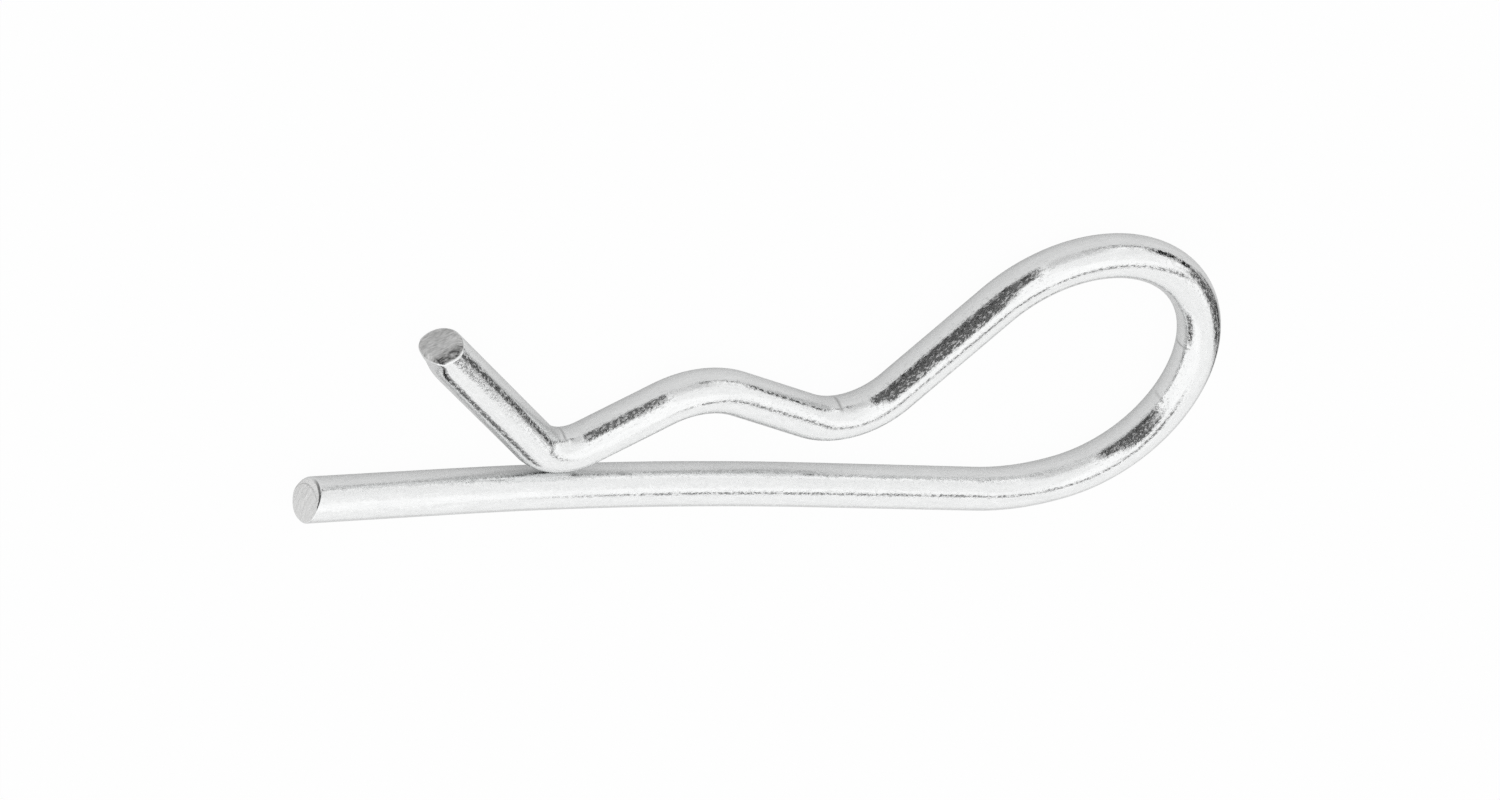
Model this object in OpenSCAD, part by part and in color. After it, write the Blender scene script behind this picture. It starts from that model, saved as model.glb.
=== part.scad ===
// Hitch pin R clip: one round spring wire, sheared at both ends and bent in one plane.
// The wire is laid out in the order in which it is bent: from the leg's free end, round the pull
// loop, down the diagonal, over the arch that hugs the hitch pin and out along the lead-in tip.
// The clip lies flat: X runs along the leg's free end towards the loop, Y from the leg towards the
// arch, Z up. The origin is on the hitch pin's axis, level with the underside of the wire.

/* [Wire] */
// Diameter of the round spring wire
wire_d = 4; // [3:0.1:5]
// Diameter that the wire loses where it is bent tight round a former
bend_thin = 0.02; // [0.01:0.01:0.08]

/* [Leg] */
// Straight stretch at the leg's free end
leg_end_len = 13.3; // [9.3:0.5:18.3]
// Radius of the leg's bow, to the wire's centre line
bow_r = 380; // [320:5:480]
// Angle that the bow turns the leg through
bow_deg = 5.4; // [4.6:0.1:6.8]
// Straight stretch from the bow to the loop
leg_run_len = 18; // [12:0.5:28]

/* [Loop and diagonal] */
// Inside radius of the easy bend that leads the leg into the loop
lead_ir = 21.5; // [12:0.5:40]
// Angle of the easy bend
lead_deg = 21.8; // [10:0.2:40]
// Inside diameter of the pull loop
loop_bore_d = 22; // [16:0.5:27]
// Slope of the diagonal against the leg's free end
diag_deg = 52; // [42:0.5:70]
// Inside radius of the bend at the foot of the diagonal
foot_ir = 5.2; // [2:0.2:10]

/* [Hitch pin seat] */
// Diameter of the hitch pin that the clip goes through and round
pin_d = 16; // [12:0.5:20]
// Free room between the hitch pin and the two slopes of the arch
pin_clear = 0.25; // [0.05:0.05:1.5]
// Distance from the leg's free end to the hitch pin's axis
seat_at = 36.1; // [31.1:0.2:41.1]
// Slope of the arch on the loop's side
arch_in_deg = 20.5; // [8:0.5:35]
// Slope of the arch on the tip's side
arch_out_deg = 31.5; // [22:0.5:45]
// Inside radius at the top of the arch
arch_ir = 6.2; // [2:0.2:10]

/* [Contact bend and tip] */
// Inside radius of the bend that comes down on the leg
contact_ir = 2.3; // [1.2:0.1:4]
// Gap left between that bend and the leg
contact_gap = 0.15; // [0.05:0.05:1]
// Slope of the lead-in tip
tip_deg = 42.5; // [25:0.5:60]
// Length of the straight tip, along its axis
tip_len = 16.3; // [10.3:0.5:25.8]

/* [Leg's sheared end] */
// Lean of the leg's end face in the plane of the clip
leg_lean_deg = -9; // [-20:1:20]
// Upward turn of the leg's end face
leg_nod_deg = 4; // [-20:1:20]
// Greatest width of the crescent that the shear rolls over on the leg's end
leg_roll_w = 0.7; // [0.4:0.1:1.2]
// Where that crescent is widest, as an angle round the leg's end
leg_roll_at = 196; // [120:2:240]
// Slope of that crescent against the end face
leg_roll_deg = 26; // [12:1:40]

/* [Tip's sheared end] */
// Lean of the tip's end face in the plane of the clip
tip_lean_deg = -18; // [-25:1:25]
// Upward turn of the tip's end face
tip_nod_deg = 1; // [-20:1:20]
// Greatest width of the crescent that the shear rolls over on the tip
tip_roll_w = 0.5; // [0.3:0.1:1.2]
// Where that crescent is widest, as an angle round the tip
tip_roll_at = 100; // [60:2:140]
// Slope of that crescent against the end face
tip_roll_deg = 40; // [12:1:50]
// Greatest width of the second crescent, where the wire was held for the shear
tip_nip_w = 0.6; // [0.3:0.1:1.2]
// Where the second crescent is widest, as an angle round the tip
tip_nip_at = 12; // [-30:2:40]
// Slope of the second crescent against the end face
tip_nip_deg = 50; // [12:1:55]

/* [Hidden] */
$fn = 48;

// Overlap that joins a stretch of wire to a thinner neighbour
lap = 0.02;

// Centre-line radii of the bends
lead_r = lead_ir + wire_d / 2;
loop_r = loop_bore_d / 2 + wire_d / 2;
foot_r = foot_ir + wire_d / 2;
arch_r = arch_ir + wire_d / 2;
contact_r = contact_ir + wire_d / 2;

// Headings of the straight stretches, counted from X
diag_h = 180 + diag_deg;
in_h = 180 - arch_in_deg;
out_h = 180 + arch_out_deg;

// Unit vectors along a heading and to its left
function along(h) = [cos(h), sin(h)];
function left(h) = [-sin(h), cos(h)];

// Crossing of the lines with headings g and h that lie c and d to the left of [0, 0]
function crossing(g, c, h, d) =
    let (m = left(g), n = left(h)) [c * n.y - d * m.y, d * m.x - c * n.x] / (m.x * n.y - m.y * n.x);

// A stretch of wire is [length, radius, diameter]: radius 0 is straight, + turns left, - right
function straight(len) = [len, 0, wire_d];
function easy(r, deg) = [abs(r) * deg * PI / 180, r, wire_d - bend_thin / 2];
function tight(r, deg) = [abs(r) * deg * PI / 180, r, wire_d - bend_thin];

function turn(s) = s[1] == 0 ? 0 : s[0] / s[1] * 180 / PI;

// Where a stretch that starts at p = [x, y, heading] ends
function after(p, s) = let (h = p[2], r = s[1], t = turn(s))
    r == 0 ? [p.x + s[0] * cos(h), p.y + s[0] * sin(h), h]
           : [p.x - r * sin(h) + r * sin(h + t), p.y + r * cos(h) - r * cos(h + t), h + t];

// The leg, from its free end to the start of the loop
leg = [straight(leg_end_len), easy(-bow_r, bow_deg), straight(leg_run_len), easy(lead_r, lead_deg)];
loop_at = after(after(after(after([0, 0, 0], leg[0]), leg[1]), leg[2]), leg[3]);
loop = tight(loop_r, diag_h - loop_at[2]);
loop_end = after(loop_at, loop);

// The hitch pin's axis crosses the leg on its bow
bow_c = [leg_end_len, -bow_r];
seat_a = asin((seat_at - leg_end_len) / bow_r);
pin_c = bow_c + bow_r * [sin(seat_a), cos(seat_a)];
seat_r = pin_d / 2 + pin_clear + wire_d / 2;

// How far to the left of [0, 0] each slope's line passes; both slopes of the arch clear the pin
diag_off = left(diag_h) * [loop_end.x, loop_end.y];
in_off = left(in_h) * pin_c - seat_r;
out_off = left(out_h) * pin_c - seat_r;

// Centres of the bends that round the corners between those lines
foot_c = crossing(diag_h, diag_off - foot_r, in_h, in_off - foot_r);
arch_c = crossing(in_h, in_off + arch_r, out_h, out_off + arch_r);

// The contact bend rounds off the arch's outer slope just clear of the leg's bow
hold_r = bow_r + wire_d + contact_gap + contact_r;
out_foot = (out_off - contact_r) * left(out_h);
out_run = along(out_h) * (out_foot - bow_c);
out_gap2 = pow(norm(out_foot - bow_c), 2) - pow(hold_r, 2);
contact_c = out_foot - (out_run + sqrt(out_run * out_run - out_gap2)) * along(out_h);

// Straight stretches left between the bends
diag_len = along(diag_h) * (foot_c - [loop_end.x, loop_end.y]);
in_len = along(in_h) * (arch_c - foot_c);
out_len = along(out_h) * (contact_c - arch_c);

route = concat(leg, [
    loop,
    straight(diag_len),
    tight(-foot_r, diag_deg + arch_in_deg),
    straight(in_len),
    tight(arch_r, arch_in_deg + arch_out_deg),
    straight(out_len),
    tight(-contact_r, arch_out_deg + tip_deg),
    straight(tip_len)
]);
last = len(route) - 1;
starts = [for (i = 0, p = [0, 0, 0]; i <= last; p = after(p, route[i]), i = i + 1) p];

// A stretch laps only into a thinner neighbour
function thicker(i, j) = route[i][2] > route[j][2] ? lap : 0;

// One stretch of round wire, starting at [0, 0, 0] along X
module stretch(s, before, behind) {
    r = abs(s[1]);
    len = s[0] + before + behind;
    if (r == 0)
        translate([-before, 0, 0]) rotate([0, 90, 0]) cylinder(h = len, d = s[2]);
    else
        mirror([0, s[1] < 0 ? 1 : 0, 0]) translate([0, r, 0])
            rotate([0, 0, -90 - before / r * 180 / PI])
                rotate_extrude(angle = len / r * 180 / PI, $fn = 240)
                    translate([r, 0]) circle(d = s[2]);
}

// What one blade leaves of a wire whose end face is at [0, 0, 0] and looks along X. The blade's
// crescent is widest, w, at the angle at round the wire and slopes by deg. It is part of a cone
// whose rim runs from side to side of the end face.
module blade_leaves(len, w, at, deg) {
    r = wire_d / 2;
    reach = len + lap + wire_d;
    rim_r = (r * r + pow(r - w, 2)) / (2 * (r - w));
    rotate([at, 0, 0]) translate([-reach, r - w - rim_r, 0]) rotate([0, 90, 0])
        cylinder(h = reach, r1 = rim_r + reach / tan(deg), r2 = rim_r, $fn = 120);
}

// The last len of a wire that points along X and ends at [0, 0, 0], cut to its children, which
// lean in the clip's plane and nod up. The wire's seam lies a quarter turn behind the angle at.
module sheared_end(len, at, lean, nod) {
    intersection() {
        rotate([at - 90, 0, 0]) translate([-len - lap, 0, 0]) rotate([0, 90, 0])
            cylinder(h = len + lap + wire_d, d = wire_d);
        rotate([0, 0, lean]) rotate([0, -nod, 0]) children();
    }
}

// Places its children at the start of stretch i, or at the end of the wire
module at_stretch(i) {
    p = i > last ? after(starts[last], route[last]) : starts[i];
    translate([p.x, p.y, 0]) rotate([0, 0, p[2]]) children();
}

module leg_end() sheared_end(leg_end_len, leg_roll_at, leg_lean_deg, leg_nod_deg)
    blade_leaves(leg_end_len, leg_roll_w, leg_roll_at, leg_roll_deg);

module tip_end() sheared_end(tip_len, tip_roll_at, tip_lean_deg, tip_nod_deg) intersection() {
    blade_leaves(tip_len, tip_roll_w, tip_roll_at, tip_roll_deg);
    blade_leaves(tip_len, tip_nip_w, tip_nip_at, tip_nip_deg);
}

module r_clip() color([0.83, 0.84, 0.85]) translate([-pin_c.x, -pin_c.y, wire_d / 2]) {
    rotate([0, 0, 180]) leg_end();
    for (i = [1 : last - 1]) at_stretch(i) stretch(route[i], thicker(i, i - 1), thicker(i, i + 1));
    at_stretch(last + 1) tip_end();
}

r_clip();
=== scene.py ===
import bpy
import numpy as np
from mathutils import Matrix


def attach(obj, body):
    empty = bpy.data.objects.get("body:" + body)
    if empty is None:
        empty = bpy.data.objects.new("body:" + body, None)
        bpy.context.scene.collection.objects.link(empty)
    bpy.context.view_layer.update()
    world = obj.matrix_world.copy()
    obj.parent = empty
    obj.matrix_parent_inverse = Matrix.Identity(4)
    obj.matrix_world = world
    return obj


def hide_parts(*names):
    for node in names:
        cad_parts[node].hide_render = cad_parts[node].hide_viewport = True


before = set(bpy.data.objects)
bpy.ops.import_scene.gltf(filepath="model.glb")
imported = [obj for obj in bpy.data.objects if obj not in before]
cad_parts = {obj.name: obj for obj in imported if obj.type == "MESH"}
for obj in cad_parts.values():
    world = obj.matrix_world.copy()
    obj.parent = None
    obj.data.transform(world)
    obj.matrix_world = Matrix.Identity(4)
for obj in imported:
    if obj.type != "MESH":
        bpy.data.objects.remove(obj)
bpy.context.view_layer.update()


# ---- The spring wire ------------------------------------------------------------------------
# Hard drawn 4 mm spring steel wire, sheared to length at both ends, bent cold round a set of
# formers in one plane and bright zinc plated as a finished clip. Nothing is fixed to it.

# The bends in the order in which they are made, in millimetres and degrees: leg, pull loop,
# diagonal, foot, the two slopes of the arch that hugs the hitch pin, contact bend, lead-in tip
mm = 0.001
wire_r = 2.0
leg_end_len, leg_run_len, tip_len = 13.3, 18.0, 16.3
bow_r, bow_deg = 380.0, 5.4
lead_r, lead_deg = 23.5, 21.8
loop_r, foot_r, arch_r, contact_r = 13.0, 7.2, 8.2, 4.3
diag_deg, arch_in_deg, arch_out_deg, tip_deg = 52.0, 20.5, 31.5, 42.5
pin_r, pin_clear, seat_at, contact_gap = 8.0, 0.25, 36.1, 0.15


def along(heading):
    """Unit vector (cos h, sin h) along a heading in radians."""
    return np.array([np.cos(heading), np.sin(heading)])


def left(heading):
    """Unit vector (-sin h, cos h), a quarter turn to the left of a heading."""
    return np.array([-np.sin(heading), np.cos(heading)])


def walk(lengths, curvatures):
    """Headings and points at the joins of a chain of straights and arcs that starts at [0, 0].
    A stretch of length L and curvature k turns the heading by k L, and its chord is
    L sin(k L / 2) / (k L / 2) long along the heading halfway. Both are running sums."""
    turns = lengths * curvatures
    headings = np.concatenate([[0.0], np.cumsum(turns)])
    halfway = headings[:-1] + turns / 2
    chords = lengths * np.sinc(turns / 2 / np.pi) * along(halfway)
    return headings, np.concatenate([np.zeros((1, 2)), np.cumsum(chords.T, axis=0)])


def crossing(g, c, h, d):
    """Point p with left(g) . p = c and left(h) . p = d: it lies c to the left of the line through
    [0, 0] with heading g, and d to the left of the one with heading h."""
    return np.linalg.solve(np.array([left(g), left(h)]), [c, d])


diag_h, in_h, out_h = np.radians([180 + diag_deg, 180 - arch_in_deg, 180 + arch_out_deg])
lengths = np.array([leg_end_len, bow_r * np.radians(bow_deg), leg_run_len,
                    lead_r * np.radians(lead_deg)])
curvatures = np.array([0.0, -1 / bow_r, 0.0, 1 / lead_r])
headings, joins = walk(lengths, curvatures)
lengths = np.append(lengths, loop_r * (diag_h - headings[-1]))
curvatures = np.append(curvatures, 1 / loop_r)
loop_end = walk(lengths, curvatures)[1][-1]

# The hitch pin's axis crosses the leg on its bow, and both slopes of the arch clear the pin
bow_c = np.array([leg_end_len, -bow_r])
seat_a = np.arcsin((seat_at - leg_end_len) / bow_r)
pin_c = bow_c + bow_r * np.array([np.sin(seat_a), np.cos(seat_a)])
seat_r = pin_r + pin_clear + wire_r
diag_off = left(diag_h) @ loop_end
in_off, out_off = left(in_h) @ pin_c - seat_r, left(out_h) @ pin_c - seat_r
foot_c = crossing(diag_h, diag_off - foot_r, in_h, in_off - foot_r)
arch_c = crossing(in_h, in_off + arch_r, out_h, out_off + arch_r)

# The contact bend rounds off the arch's outer slope just clear of the leg's bow
hold_r = bow_r + 2 * wire_r + contact_gap + contact_r
out_foot = (out_off - contact_r) * left(out_h)
out_run = along(out_h) @ (out_foot - bow_c)
to_contact = out_run + np.sqrt(out_run**2 - (out_foot - bow_c) @ (out_foot - bow_c) + hold_r**2)
contact_c = out_foot - to_contact * along(out_h)

lengths = np.append(lengths, [
    along(diag_h) @ (foot_c - loop_end),
    foot_r * np.radians(diag_deg + arch_in_deg),
    along(in_h) @ (arch_c - foot_c),
    arch_r * np.radians(arch_in_deg + arch_out_deg),
    along(out_h) @ (contact_c - arch_c),
    contact_r * np.radians(arch_out_deg + tip_deg),
    tip_len,
])
curvatures = np.append(curvatures, [0.0, -1 / foot_r, 0.0, 1 / arch_r, 0.0, -1 / contact_r, 0.0])
headings, joins = walk(lengths, curvatures)
joins = joins - pin_c
starts = np.concatenate([[0.0], np.cumsum(lengths)])
total = starts[-1]


def wire_line(s):
    """Point and heading of the wire's axis at the distance s from the leg's free end: the start
    of the stretch that holds s, plus the chord u sin(k u / 2) / (k u / 2) of the rest, u."""
    i = np.clip(np.searchsorted(starts, s, side="right") - 1, 0, len(lengths) - 1)
    u, k = s - starts[i], curvatures[i]
    chord = u * np.sinc(k * u / 2 / np.pi) * along(headings[i] + k * u / 2)
    return joins[i] + chord.T, headings[i] + k * u


skin_r = wire_r - 0.02             # plated surface, a hair inside the solid's
around = 96                        # points round the wire
theta = np.linspace(0, 2 * np.pi, around, endpoint=False)

# Each sheared end: its lean and nod, and for each blade the crescent's width, place and slope
ends = {
    "leg": dict(lean=-9, nod=4, crescents=[(0.7, 196, 26)]),
    "tip": dict(lean=-18, nod=1, crescents=[(0.5, 100, 40), (0.6, 12, 50)]),
}


def end_axes(end, at):
    """Rows are the end plane's normal and two axes in it, the first towards the angle at: the
    frame of the wire's end, turned by lean about Z, by nod about -Y and by at about X."""
    a, n, t = np.radians([end["lean"], end["nod"], at])
    lean = np.array([[np.cos(a), -np.sin(a), 0], [np.sin(a), np.cos(a), 0], [0, 0, 1]])
    nod = np.array([[np.cos(n), 0, -np.sin(n)], [0, 1, 0], [np.sin(n), 0, np.cos(n)]])
    turn = np.array([[1, 0, 0], [0, np.cos(t), -np.sin(t)], [0, np.sin(t), np.cos(t)]])
    return (lean @ nod @ turn).T


def rim_circle(width):
    """Radius of the circle through both sides of the wire and a point that lies width inside its
    top, (r^2 + (r - w)^2) / (2 (r - w)), and where its centre lies on the line to that point."""
    rim = (wire_r**2 + (wire_r - width)**2) / (2 * (wire_r - width))
    return rim, wire_r - width - rim


def end_height(end, y, z):
    """Distance x along the wire of the sheared end over the section's point (y, z): the plane
    n . p = 0, lowered by the deepest crescent, (q - rim) tan(slope) where q is the distance in
    the plane from that crescent's rim centre. Found by putting x in again, sixteen times."""
    x = np.zeros_like(y)
    for _ in range(16):
        drop = np.zeros_like(y)
        for width, at, slope in end["crescents"]:
            normal, toward, across = end_axes(end, at)
            rim, centre = rim_circle(width)
            a = toward[0] * x + toward[1] * y + toward[2] * z - centre
            b = across[0] * x + across[1] * y + across[2] * z
            drop = np.maximum(drop, (np.hypot(a, b) - rim) * np.tan(np.radians(slope)))
        x = (-drop - normal[1] * y - normal[2] * z) / normal[0]
    return x


def crease_at(end):
    """Share of the radius, for each angle theta, at which the flat face meets the first crescent:
    the positive root m of |m q - c| = rim, where q is the face's point at full radius. It is 1 or
    more where there is no crescent."""
    share = np.full(around, 2.0)
    y, z = wire_r * np.cos(theta), wire_r * np.sin(theta)
    for width, at, _ in end["crescents"]:
        normal, toward, across = end_axes(end, at)
        rim, centre = rim_circle(width)
        x = -(normal[1] * y + normal[2] * z) / normal[0]
        a = toward[0] * x + toward[1] * y + toward[2] * z
        b = across[0] * x + across[1] * y + across[2] * z
        size = a * a + b * b
        root = (centre * a + np.sqrt((centre * a)**2 - size * (centre**2 - rim**2))) / size
        share = np.minimum(share, root)
    return share


def turned(t, middle):
    """Degrees from the angle middle, in degrees, to the angle t, in radians: from -180 to 180."""
    return (np.degrees(t) - middle + 180) % 360 - 180


# Depth of the tear lines, and how far from the middle of the face they reach
tear_depth, tear_reach = 0.012, 1.9


def torn_relief(y, z):
    """Depth of the tear lines on a sheared face: 2 plus two slow sines of z that y bends a
    little, times tear_depth. They fade to nothing at the rim as 1 - (r / tear_reach)^6."""
    lines = (2 + np.sin(7.1 * z + 1.3 * np.sin(1.9 * y) + 0.6)
             + np.sin(12.7 * z - 0.9 * y + 1.7 * np.sin(2.3 * y + 1.1)))
    return tear_depth * lines * np.clip(1 - ((y * y + z * z) / tear_reach**2)**3, 0, 1)


# Rings of points on a sheared end: on its flat face, on its crescents and on its rounded edge.
# The edge is rounded by edge_r, by crescent_r times the share of the radius that a crescent
# takes, and by burr_r more opposite the first blade, over burr_spread degrees
flat_rings, roll_rings, round_rings = 14, 10, 8
edge_r, crescent_r, burr_r, burr_spread = 0.08, 0.75, 0.12, 28


def end_rings(end):
    """Rings of the sheared end in the wire's own frame (x out of the end, y left, z up), from
    next to the middle of the face out to the wall: the face up to its crease, the crescent up to
    the rounded edge, and a round of radius rho that starts at the surface's own slope a and ends
    on the wall, (x, r) = centre + rho (cos, sin) for angles from a to 90 degrees. The second
    result is the number of rings before that round."""
    crease = crease_at(end)
    opposite = end["crescents"][0][1] + 180
    rho = (edge_r + crescent_r * np.clip(1 - crease, 0, 1)
           + burr_r * np.exp(-(turned(theta, opposite) / burr_spread)**2))
    ray = np.array([np.cos(theta), np.sin(theta)])
    step = 0.01
    inner, outer = (skin_r - rho - step) * ray, (skin_r - rho + step) * ray
    slope = np.arctan((end_height(end, *inner) - end_height(end, *outer)) / (2 * step))
    edge = (skin_r - rho * (1 - np.sin(slope))) / skin_r
    apart, innermost = 0.002, 0.06
    crease = np.minimum(crease, edge - 2 * apart)
    flat = np.linspace(innermost, 1.0, flat_rings)[:, None] * (crease - apart)
    roll = crease + np.linspace(0, 1, roll_rings)[:, None] * (edge - crease)
    y, z = skin_r * np.concatenate([flat, roll]) * ray[:, None]
    x = end_height(end, y, z) - torn_relief(y, z)
    turn = slope + np.linspace(0, 1, round_rings + 1)[1:, None] * (np.pi / 2 - slope)
    r_round = skin_r - rho + rho * np.sin(turn)
    x_round = x[-1] + rho * (np.cos(turn) - np.cos(slope))
    rounds = np.stack([x_round, r_round * ray[0], r_round * ray[1]], axis=-1)
    return np.concatenate([np.stack([x, y, z], axis=-1), rounds]), len(flat) + len(roll)


def dent(s, t, at, width, middle, spread, depth):
    """Depth of a witness mark at the distance s along the wire and the angle t round it: a smooth
    bump, depth exp(-(ds/width)^2 - (dtheta/spread)^4)."""
    return depth * np.exp(-((s - at) / width)**2 - (turned(t, middle) / spread)**4)


# The shear pressed the tip in: by this share of its radius, round this angle, over this spread
# in degrees and this far back from the end
pinch_share, pinch_at, pinch_spread, pinch_len = 0.2, 15, 48, 1.3


def pinch(behind, t):
    """Share of the radius pressed in at the distance behind the tip's end and the angle t:
    pinch_share exp(-(dtheta/pinch_spread)^4) exp(-(behind/pinch_len)^2)."""
    across = np.exp(-(turned(t, pinch_at) / pinch_spread)**4)
    return pinch_share * across * np.exp(-(behind / pinch_len)**2)


def facing_back(rings):
    """The leg's end looks back along the wire, so its y is the wire's -y and its angles run the
    other way round: the wire's angle theta is the end's angle pi - theta."""
    return rings[:, (around // 2 - np.arange(around)) % around]


def waves(s, t):
    """Slight unevenness of drawn and straightened wire, from 0 to 1: a mean of slow sines of the
    length s and the angle t whose periods have no common measure."""
    return 0.5 + 0.125 * (np.sin(0.71 * s + 2 * t + 0.4) + np.sin(1.13 * s - t + 2.1)
                          + np.sin(0.47 * s + 3 * t + 4.0) + np.sin(1.87 * s + t + 5.2))


# Marks that the edges of the formers pressed into the inside of the foot bend, the contact bend
# and the loop: the place along the wire, width, middle angle, spread in degrees and depth
loop_from, foot_from, contact_from = starts[[4, 6, 10]]
marks = [(foot_from + 6.377, 0.17, 175, 30, 0.048), (contact_from + 2.979, 0.17, 178, 28, 0.048),
         (loop_from + 19.845, 0.15, 8, 26, 0.040), (loop_from + 12.845, 0.15, 10, 22, 0.026)]

# Walls: rings about every quarter millimetre between the two ends, four times as close at the
# marks. The waves of the drawn wire start gently behind each shear
leg_cap, leg_cut = end_rings(ends["leg"])
leg_cap = facing_back(leg_cap)
tip_cap, tip_cut = end_rings(ends["tip"])
leg_wall, tip_wall = -leg_cap[-1, :, 0], total + tip_cap[-1, :, 0]
wall_rings, closer, near_mark = 800, 4, 0.5
even = np.linspace(0, total, 10 * wall_rings)
at_marks = sum(np.exp(-((even - mark[0]) / near_mark)**2) for mark in marks)
crowd = np.cumsum(1 + (closer - 1) * at_marks)
ring_s = np.interp(np.linspace(crowd[0], crowd[-1], wall_rings), crowd, even) / total
wall_s = leg_wall + ring_s[1:-1, None] * (tip_wall - leg_wall)
wave_depth, wave_start = 0.006, 1.5
near_end = np.minimum(wall_s - leg_wall, tip_wall - wall_s)
drawn_in = wave_depth * waves(wall_s, theta) * (1 - np.exp(-near_end / wave_start))
dents = sum(dent(wall_s, theta, *mark) for mark in marks)
wall_r = (skin_r - drawn_in - dents) * (1 - pinch(tip_wall - wall_s, theta))
tip_cap[:, :, 1:] *= 1 - pinch(0, theta)[:, None]
s_all = np.concatenate([-leg_cap[:, :, 0], wall_s, total + tip_cap[::-1, :, 0]])
y_all = np.concatenate([-leg_cap[:, :, 1], wall_r * np.cos(theta), tip_cap[::-1, :, 1]])
z_all = np.concatenate([leg_cap[:, :, 2], wall_r * np.sin(theta), tip_cap[::-1, :, 2]])


def bend(s, y, z):
    """Places the straight wire's points (s, y, z) on the bend chain: axis point + y left + z up.
    Points past an end lie straight on from it."""
    inside = np.clip(s, 0, total)
    point, heading = wire_line(inside.ravel())
    past = (s.ravel() - inside.ravel())[:, None]
    flat = point + past * along(heading).T + y.ravel()[:, None] * left(heading).T
    return np.concatenate([flat, z.reshape(-1, 1) + wire_r], axis=1)


# The mesh: quads between the rings, and a fan round the middle of each face
middles = [[s_all[0].mean(), 0, 0], [s_all[-1].mean(), 0, 0]]
straight_points = np.concatenate([
    np.stack([s_all, y_all, z_all], axis=-1).reshape(-1, 3), middles])
rings = len(s_all)
ring, spot = np.meshgrid(np.arange(rings - 1), np.arange(around), indexing="ij")
here, there = ring * around + spot, ring * around + (spot + 1) % around
quads = np.stack([here, there, there + around, here + around], axis=-1).reshape(-1, 4)
spot, after = np.arange(around), (np.arange(around) + 1) % around
last_ring = (rings - 1) * around
leg_fan = np.stack([np.full(around, rings * around), after, spot], axis=-1)
tip_fan = np.stack([np.full(around, rings * around + 1), last_ring + spot,
                    last_ring + after], axis=-1)

mesh = bpy.data.meshes.new("wire")
mesh.from_pydata(bend(*straight_points.T) * mm, [],
                 quads.tolist() + leg_fan.tolist() + tip_fan.tolist())
mesh.shade_smooth()
sharp_deg = 14
mesh.set_sharp_from_angle(angle=np.radians(sharp_deg))
mesh.update()
wire = bpy.data.objects.new("wire", mesh)
bpy.context.scene.collection.objects.link(wire)

# Where each point lay before the wire was bent, so that the drawn lines follow the bends, and
# which points the shears left
unbent = mesh.attributes.new("unbent", "FLOAT_VECTOR", "POINT")
unbent.data.foreach_set("vector", (straight_points * mm).ravel())
leg_face, tip_face = slice(None, leg_cut - 1), slice(1 - tip_cut, None)
cut_rows = np.zeros((rings, around))
cut_rows[leg_face] = 1
cut_rows[tip_face] = 1
sheared = mesh.attributes.new("sheared", "FLOAT", "POINT")
sheared.data.foreach_set("value", np.append(cut_rows.ravel(), [1, 1]))

# How dull each point is, from 0 to 1, with painted shade in the same values. On the leg's end the
# flat face is a little dull, the crease of its crescent darker with painted shade, and the
# crescent's rim darkest with painted shade round the angle rim_at. The marks darken by their
# depth, partly dirt in their grooves and partly painted shade
leg_dull, crease_shade, mark_dirt_and_shade = 0.10, 0.34, 10
rim_shade, rim_at, rim_spread = 0.80, 35, 45
dull_and_shade_rows = np.zeros((rings, around))
dull_and_shade_rows[:flat_rings] = leg_dull
# Painted shade: a dark line along the crease of the leg end's crescent
dull_and_shade_rows[flat_rings:flat_rings + 2] = crease_shade
# Painted shade: a dark line round the rim of the leg end's crescent, about the angle rim_at
dull_and_shade_rows[leg_cut - 2:leg_cut + 3] = rim_shade * np.exp(-(turned(theta, rim_at) / rim_spread)**4)
# The marks darken with their depth: dirt in the grooves, with painted shade over it
dull_and_shade_rows[len(leg_cap):-len(tip_cap)] = mark_dirt_and_shade * dents

# The tip's face is duller than the leg's, most of all in a dark band where the shear tore the
# metal off last, which also paints in the shade on that side of the face: by the band's full
# amount
# / (1 + exp(-(q - 1.1) / 0.12)), where q is the distance towards 100 degrees
tip_dull, torn_and_shade, dark_band_at = 0.40, 0.42, np.radians(100)
dark_band_way = y_all[tip_face] * np.cos(dark_band_at) + z_all[tip_face] * np.sin(dark_band_at)
# Torn metal with painted shade: the tip's face darkens towards 100 degrees
dull_and_shade_rows[tip_face] = tip_dull + torn_and_shade / (1 + np.exp(-(dark_band_way - 1.1) / 0.12))
dull_and_shade = mesh.attributes.new("dull_and_shade", "FLOAT", "POINT")
dull_and_shade.data.foreach_set("value", np.append(dull_and_shade_rows.ravel(), [leg_dull, tip_dull]))

# The plating: bright, a little blotched and speckled, over the fine lines of the drawn wire. The
# sheared faces are plated too, bright where the blades cut and near black where the metal tore.
# The same dark colours carry painted shade: lines at the leg end's crease and rim, in the marks
# and on the tip's dark band
zinc = bpy.data.materials.new("bright zinc plate on drawn wire")
zinc.use_nodes = True
nodes, links = zinc.node_tree.nodes, zinc.node_tree.links
shader = nodes["Principled BSDF"]
shader.inputs["Metallic"].default_value = 1.0
place = nodes.new("ShaderNodeAttribute")
place.attribute_name = "unbent"
cut = nodes.new("ShaderNodeAttribute")
cut.attribute_name = "sheared"
dulled_and_shaded = nodes.new("ShaderNodeAttribute")
dulled_and_shaded.attribute_name = "dull_and_shade"


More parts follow.
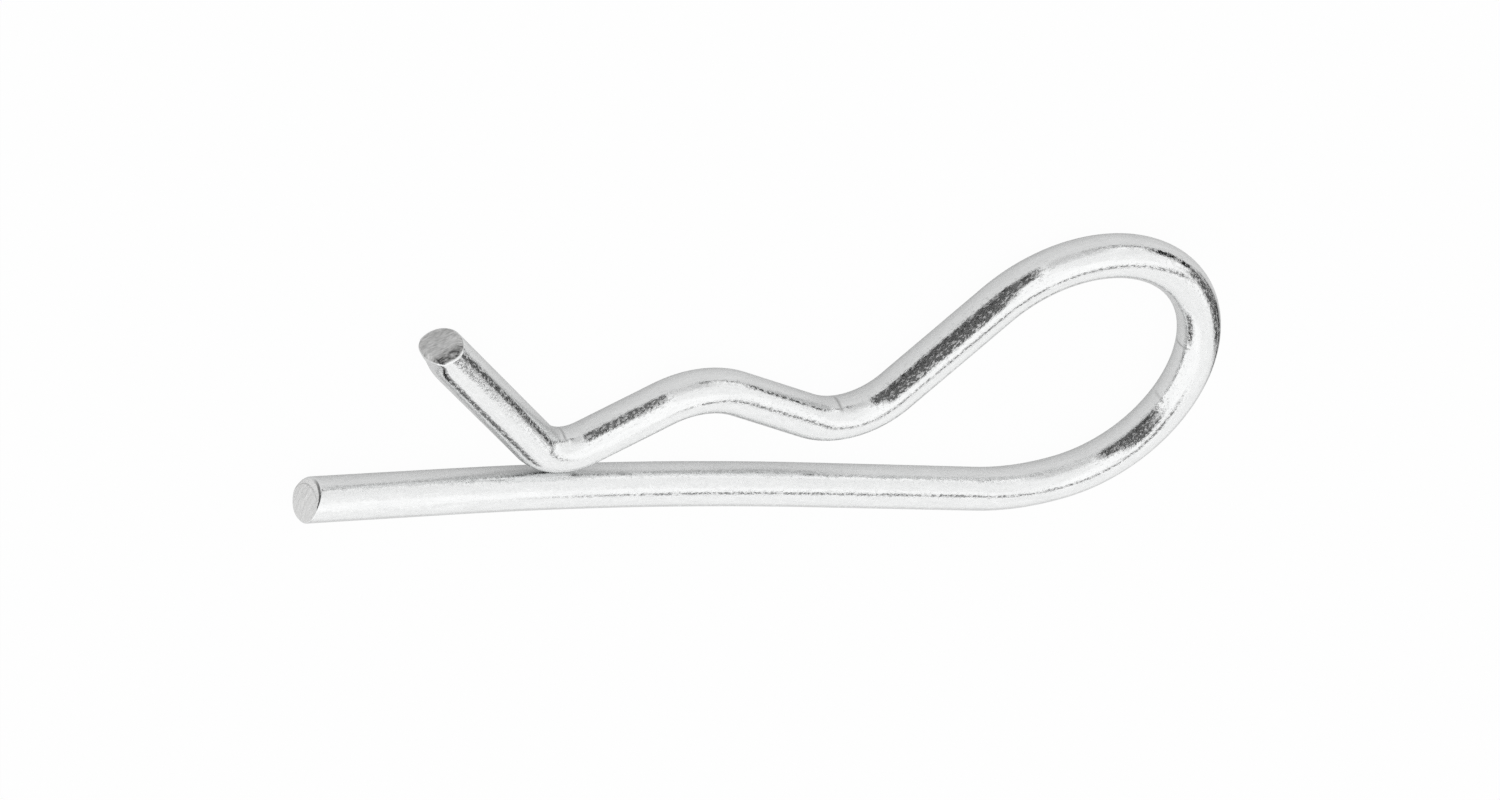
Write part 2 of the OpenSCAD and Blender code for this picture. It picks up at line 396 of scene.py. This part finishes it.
def grain(size, depth, roughness=0.5):
    """Noise with grains of size (along, across, up) millimetres on the unbent wire."""
    scale = nodes.new("ShaderNodeVectorMath")
    scale.operation = "MULTIPLY"
    scale.inputs[1].default_value = [1000 / way for way in size]
    links.new(place.outputs["Vector"], scale.inputs[0])
    noise = nodes.new("ShaderNodeTexNoise")
    noise.inputs["Scale"].default_value = 1.0
    noise.inputs["Detail"].default_value = depth
    noise.inputs["Roughness"].default_value = roughness
    links.new(scale.outputs[0], noise.inputs["Vector"])
    return noise.outputs["Fac"]


def spread(source, low, high, start=0.3, stop=0.7):
    """Maps a noise evenly, start to low and stop to high."""
    ramp = nodes.new("ShaderNodeMapRange")
    ramp.inputs["From Min"].default_value = start
    ramp.inputs["From Max"].default_value = stop
    ramp.inputs["To Min"].default_value = low
    ramp.inputs["To Max"].default_value = high
    links.new(source, ramp.inputs["Value"])
    return ramp.outputs["Result"]


def raised(height, distance, below=None):
    """Normal of a bump that is distance metres high, on top of another bump's normal."""
    bump = nodes.new("ShaderNodeBump")
    bump.inputs["Strength"].default_value = 1.0
    bump.inputs["Distance"].default_value = distance
    links.new(height, bump.inputs["Height"])
    if below:
        links.new(below, bump.inputs["Normal"])
    return bump.outputs["Normal"]


def mixed(kind, share, a, b):
    """Mix of a kind between two sockets or constants, a (1 - share) + b share. The node has one
    pair of inputs and one output for each kind: numbers, vectors and colours."""
    mix = nodes.new("ShaderNodeMix")
    mix.data_type = kind
    links.new(share, mix.inputs["Factor"])
    first_input, output = {"FLOAT": (2, 0), "VECTOR": (4, 1), "RGBA": (6, 2)}[kind]
    for i, value in enumerate((a, b)):
        if isinstance(value, bpy.types.NodeSocket):
            links.new(value, mix.inputs[first_input + i])
        else:
            mix.inputs[first_input + i].default_value = value
    return mix.outputs[output]


# Blotches of the plating, specks of its crystals, lines of the drawing die along the wire, and
# the tear of the sheared faces
blotches = grain((2.4, 0.4, 0.4), 3.0)
specks = grain((0.36, 0.19, 0.19), 3.0, 0.6)
drawn = grain((6.0, 0.09, 0.09), 2.0)
torn = grain((0.6, 0.6, 0.14), 4.0, 0.7)
wall_normal = raised(drawn, 0.000002, raised(specks, 0.000014, raised(blotches, 0.000009)))
torn_normal = raised(torn, 0.000050)
pale = mixed("RGBA", spread(blotches, 0, 1), (0.86, 0.866, 0.866, 1), (0.92, 0.925, 0.925, 1))
deep = mixed("RGBA", spread(blotches, 0, 1), (0.74, 0.747, 0.747, 1), (0.80, 0.806, 0.806, 1))
plate = mixed("RGBA", spread(specks, 0, 1), deep, pale)
# Near black for the walls: the marks' grooves, partly dirt and partly painted shade, and the
# painted shade line round the leg end's rim
dark_dirt_and_shade = (0.05, 0.05, 0.05, 1)
tone = mixed("RGBA", dulled_and_shaded.outputs["Fac"], plate, dark_dirt_and_shade)

# What is dull or painted shade on the sheared faces is patchy
patchy = nodes.new("ShaderNodeMath")
patchy.operation = "MULTIPLY"
patchy.use_clamp = True
links.new(dulled_and_shaded.outputs["Fac"], patchy.inputs[0])
links.new(spread(torn, 0.4, 1.6), patchy.inputs[1])
# The faces' dark colour makes them dull and shows the tear, and also holds painted shade along the
# leg end's crease and rim and on the tip's dark band
cut_bright, cut_torn_and_shade = (0.95, 0.95, 0.945, 1), (0.10, 0.10, 0.098, 1)
cut_tone = mixed("RGBA", patchy.outputs[0], cut_bright, cut_torn_and_shade)
links.new(mixed("RGBA", cut.outputs["Fac"], tone, cut_tone), shader.inputs["Base Color"])

# Most of the plate is smooth and only the highest specks are rough, so it mirrors sharply
plate_rough, cut_rough = spread(specks, 0.07, 0.42, 0.49, 0.62), 0.34
links.new(mixed("FLOAT", cut.outputs["Fac"], plate_rough, cut_rough), shader.inputs["Roughness"])
links.new(mixed("VECTOR", cut.outputs["Fac"], wall_normal, torn_normal), shader.inputs["Normal"])
shader.inputs["Specular Tint"].default_value = (0.88, 0.88, 0.88, 1)
mesh.materials.append(zinc)

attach(wire, "root")
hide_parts("r_clip")


# ---- The floor ------------------------------------------------------------------------------
# A plain white table top that the clip lies on. It is matt, and part of its white is its own, so
# that it looks white and keeps a faint shadow.

def sheet_of(name, corner, side, up, steps, fade):
    """A flat board: corner + u side + v up, a grid in u and v from 0 to 1. Its cover is 1 in the
    middle and falls smoothly, 3 t^2 - 2 t^3, to 0 over the share fade = (sides, bottom, top)."""
    u, v = np.meshgrid(np.linspace(0, 1, steps), np.linspace(0, 1, steps), indexing="ij")
    grid = np.array(corner) + u[..., None] * np.array(side) + v[..., None] * np.array(up)
    i, j = np.meshgrid(np.arange(steps - 1), np.arange(steps - 1), indexing="ij")
    a = (i * steps + j).ravel()
    sheet = bpy.data.meshes.new(name)
    sheet.from_pydata(grid.reshape(-1, 3), [],
                      np.stack([a, a + steps, a + steps + 1, a + 1], axis=-1).tolist())
    reach = [np.ones_like(u) if f == 0 else np.clip(d / f, 0, 1)
             for d, f in ((u, fade[0]), (1 - u, fade[0]), (v, fade[1]), (1 - v, fade[2]))]
    cover = np.prod([3 * t**2 - 2 * t**3 for t in reach], axis=0)
    sheet.attributes.new("cover", "FLOAT", "POINT").data.foreach_set("value", cover.ravel())
    thing = bpy.data.objects.new(name, sheet)
    bpy.context.scene.collection.objects.link(thing)
    return thing


floor = sheet_of("floor", (-4, -4, 0), (8, 0, 0), (0, 8, 0), 2, (0, 0, 0))
paint = bpy.data.materials.new("white table")
paint.use_nodes = True
nodes, links = paint.node_tree.nodes, paint.node_tree.links
nodes.clear()
matt = nodes.new("ShaderNodeBsdfDiffuse")
matt.inputs["Color"].default_value = (0.62, 0.62, 0.62, 1)
white_seen, white_mirrored = 0.97, 0.36       # shares of the table's own white
own = nodes.new("ShaderNodeEmission")
ray = nodes.new("ShaderNodeLightPath")
seen = nodes.new("ShaderNodeMath")
seen.operation = "MULTIPLY"
seen.inputs[1].default_value = white_seen
mirrored = nodes.new("ShaderNodeMath")
mirrored.operation = "ADD"
share = nodes.new("ShaderNodeMath")
share.operation = "MULTIPLY_ADD"
share.inputs[1].default_value = white_mirrored
mix = nodes.new("ShaderNodeMixShader")
out = nodes.new("ShaderNodeOutputMaterial")
links.new(ray.outputs["Is Camera Ray"], seen.inputs[0])
links.new(ray.outputs["Is Glossy Ray"], mirrored.inputs[0])
links.new(ray.outputs["Is Transmission Ray"], mirrored.inputs[1])
links.new(mirrored.outputs[0], share.inputs[0])
links.new(seen.outputs[0], share.inputs[2])
links.new(share.outputs[0], mix.inputs[0])
links.new(matt.outputs[0], mix.inputs[1])
links.new(own.outputs[0], mix.inputs[2])
links.new(mix.outputs[0], out.inputs["Surface"])
floor.data.materials.append(paint)


# ---- The cloths round the table ---------------------------------------------------------------
# Cloths and cards that give the bright wire something dark to mirror. Most hang square to it round
# the table, a mat lies beside it and a rod hangs over it. They fade out at their edges and are
# seen in reflections only.

black_cloth, black_card = (0.011, 0.24), (0.02, 0.03)     # darkest and lightest grey of each


def hung(name, corner, side, up, greys, fade, share=1.0):
    """A cloth, corner + u side + v up in metres, mottled between two greys, that covers share of
    what is behind its middle."""
    thing = sheet_of(name, corner, side, up, 33, fade)
    cloth = bpy.data.materials.new(name)
    cloth.use_nodes = True
    nodes, links = cloth.node_tree.nodes, cloth.node_tree.links
    nodes.clear()
    matt = nodes.new("ShaderNodeBsdfDiffuse")
    at = nodes.new("ShaderNodeTexCoord")
    folds = nodes.new("ShaderNodeTexNoise")
    folds.inputs["Scale"].default_value = 12.0
    folds.inputs["Detail"].default_value = 1.0
    tones = nodes.new("ShaderNodeMapRange")
    tones.inputs["From Min"].default_value = 0.42
    tones.inputs["From Max"].default_value = 0.58
    tones.inputs["To Min"].default_value, tones.inputs["To Max"].default_value = greys
    links.new(at.outputs["Object"], folds.inputs["Vector"])
    links.new(folds.outputs["Fac"], tones.inputs["Value"])
    links.new(tones.outputs["Result"], matt.inputs["Color"])
    clear = nodes.new("ShaderNodeBsdfTransparent")
    cover = nodes.new("ShaderNodeAttribute")
    cover.attribute_name = "cover"
    part = nodes.new("ShaderNodeMath")
    part.operation = "MULTIPLY"
    part.inputs[1].default_value = share
    mix = nodes.new("ShaderNodeMixShader")
    out = nodes.new("ShaderNodeOutputMaterial")
    links.new(cover.outputs["Fac"], part.inputs[0])
    links.new(part.outputs[0], mix.inputs[0])
    links.new(clear.outputs[0], mix.inputs[1])
    links.new(matt.outputs[0], mix.inputs[2])
    links.new(mix.outputs[0], out.inputs["Surface"])
    thing.data.materials.append(cloth)
    thing.visible_camera = thing.visible_diffuse = thing.visible_shadow = False


def standing(name, heading, distance, width, low, high, greys, fade, share=1.0):
    """A cloth that stands square to the line from the origin at a heading in degrees from +X."""
    out_way, side = along(np.radians(heading)), left(np.radians(heading)) * width
    corner = distance * out_way - side / 2
    hung(name, (*corner, low), (*side, 0), (0, 0, high - low), greys, fade, share)


# Name, heading, distance, width, lower and upper edge, greys, fades (sides, bottom, top), share
standing("dark_cloth_wide", 144.5, 1.1, 1.52, 0.0, 1.45, black_cloth, (0.07, 0, 0.22))
standing("dark_cloth_tall", 150, 1.2, 0.90, 0.0, 3.7, black_cloth, (0.12, 0, 0.45))
standing("dark_cloth_high", 168, 1.0, 0.95, 0.9, 5.5, black_cloth, (0.15, 0.15, 0.3))
standing("dark_cloth_side", 350, 1.5, 1.00, 0.0, 0.86, black_cloth, (0.08, 0, 0.36))
standing("dark_sill", 6, 1.4, 0.58, 0.0, 0.36, black_cloth, (0.15, 0, 0.4))
standing("grey_sill", 36, 1.4, 0.50, 0.0, 0.22, (0.55, 0.55), (0.2, 0, 0.2), 0.7)
standing("grey_cloth_back", 88, 1.5, 1.50, 0.0, 1.17, (0.72, 0.72), (0.25, 0, 0.6))
standing("dark_block", 266, 0.21, 0.12, 0.0, 0.10, black_cloth, (0.12, 0, 0.25))
standing("pale_cloth", 304, 1.6, 2.00, 0.0, 3.0, (0.9, 0.9), (0.1, 0, 0.15), 0.45)
standing("pale_cloth_back", 62, 1.6, 3.40, 0.2, 3.6, (0.8, 0.95), (0.15, 0.1, 0.3), 0.5)

# A narrow mat that lies on the table and starts beside the loop, a thin rod over the clip that
# runs along it, and two low things behind
mat_heading, mat_width, mat_len, mat_lift = np.radians(347), 0.024, 0.25, 0.0006
mat_side, mat_run = mat_width * left(mat_heading), mat_len * along(mat_heading)
mat_corner = np.array([0.0535, 0.016]) - mat_side / 2
hung("dark_mat", (*mat_corner, mat_lift), (*mat_side, 0), (*mat_run, 0), black_card,
     (0.2, 0.01, 0.1))
rod_end, rod_run = (0.0201, -0.0185, 0.0849), (0.179, 0.044, 0.017)
rod_across = (0.004, -0.015, -0.0035)
hung("overhead_rod", rod_end, rod_run, rod_across, black_card, (0.12, 0.15, 0.15), 0.88)
standing("low_block", 27, 0.148, 0.070, 0.0, 0.030, black_card, (0.12, 0, 0.12))
standing("far_rail", 66, 1.45, 1.80, 0.0, 0.13, black_cloth, (0.1, 0, 0.2))


# ---- Light ------------------------------------------------------------------------------------
# Even light from a white room, a little stronger than 1 for what the cloths take away.

room = bpy.data.worlds.new("white room")
room.use_nodes = True
room.node_tree.nodes["Background"].inputs["Color"].default_value = (1, 1, 1, 1)
room.node_tree.nodes["Background"].inputs["Strength"].default_value = 1.16
bpy.context.scene.world = room


# ---- Camera -----------------------------------------------------------------------------------
# A long lens that looks down on the clip, turned about its line of sight. It is placed in metres
# and degrees.

aim = np.array([0.004045, 0.009177, 0.002])
view_az, view_el, view_roll = np.radians([-139.637, 41.766, 147.486])
view_dist = 0.5025147
back = np.array([np.sin(view_az) * np.cos(view_el), -np.cos(view_az) * np.cos(view_el),
                 np.sin(view_el)])
upright = np.array([0, 0, 1]) - back[2] * back
upright /= np.linalg.norm(upright)
beside = np.cross(upright, back)
camera_data = bpy.data.cameras.new("camera")
camera_data.lens = 139.2
camera_data.sensor_width = 36.0
camera = bpy.data.objects.new("camera", camera_data)
stand = np.eye(4)
stand[:3, 0] = np.sin(view_roll) * upright + np.cos(view_roll) * beside
stand[:3, 1] = np.cos(view_roll) * upright - np.sin(view_roll) * beside
stand[:3, 2] = back
stand[:3, 3] = aim + view_dist * back
camera.matrix_world = Matrix(stand)
bpy.context.scene.collection.objects.link(camera)
bpy.context.scene.camera = camera
bpy.context.scene.view_settings.view_transform = "Standard"
